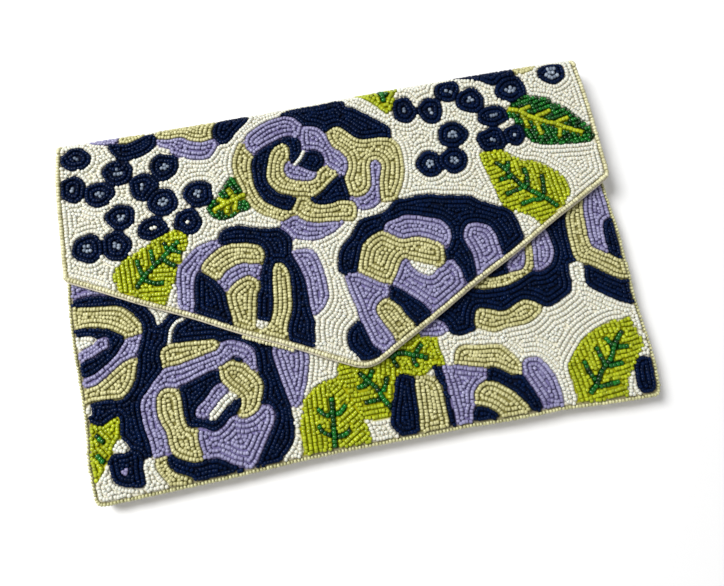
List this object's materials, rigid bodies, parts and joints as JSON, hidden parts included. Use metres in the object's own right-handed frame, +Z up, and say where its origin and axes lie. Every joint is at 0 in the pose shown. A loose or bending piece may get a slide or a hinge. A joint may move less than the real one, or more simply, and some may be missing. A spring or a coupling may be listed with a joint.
{
  "type": "clutch purse",
  "caption": "Flat beaded envelope clutch: lined compartment closed by a pointed flap that turns over a soft fold and holds with a magnetic snap.",
  "frame": {"origin": "centre of the footprint on the underside of the back, the purse lying closed on its back", "axes": "+Z up through the thickness, +X across the width, +Y towards the fold that the flap turns over"},
  "size_m": [0.2556, 0.166, 0.0146],
  "materials": {
    "ivory_beads": "opaque pearl lustre glass seed beads",
    "navy_beads": "opaque glossy glass seed beads",
    "lavender_beads": "colour-lined glass seed beads",
    "khaki_beads": "opaque lustre glass seed beads",
    "lime_beads": "silver-lined glass seed beads",
    "emerald_beads": "transparent-look glass seed beads",
    "edging_beads": "opaque lustre glass seed beads",
    "ground_cloth": "plain weave embroidery ground",
    "satin": "champagne satin",
    "lining": "satin lining",
    "board": "stiff bonded interlining",
    "snap_metal": "polished plated brass",
    "magnet": "ferrite ring magnet"
  },
  "bodies": {
    "bag": {"back_cloth": "satin", "back_board": "board", "back_lining": "lining", "left_seam": "satin", "right_seam": "satin", "bottom_seam": "satin", "front_lining": "lining", "front_board": "board", "front_cloth": "ground_cloth", "front_beadwork": "ivory_beads", "body_edging": "edging_beads", "mouth_binding": "satin", "socket_base": "snap_metal", "socket_cap": "snap_metal", "socket_magnet": "magnet", "socket_washer": "snap_metal"},
    "fold": {"fold_beadwork": "ivory_beads", "fold_cloth": "ground_cloth", "fold_lining": "lining"},
    "flap": {"flap_lining": "lining", "flap_board": "board", "flap_cloth": "ground_cloth", "flap_beadwork": "ivory_beads", "flap_edging": "edging_beads", "flap_lip": "edging_beads", "snap_stud": "snap_metal", "stud_washer": "snap_metal"}
  },
  "joints": [
    {"name": "fold_turn", "type": "hinge", "parent": "bag", "child": "fold", "pos_m": [0, 0.08192, 0.00108], "axis": [-1, 0, 0], "range_deg": [0, 90]},
    {"name": "flap_turn", "type": "hinge", "parent": "fold", "child": "flap", "pos_m": [0, 0.08192, 0.01355], "axis": [-1, 0, 0], "range_deg": [0, 90]}
  ],
  "couplings": [
    {"joint": "fold_turn", "follows": "flap_turn", "ratio": 1}
  ]
}
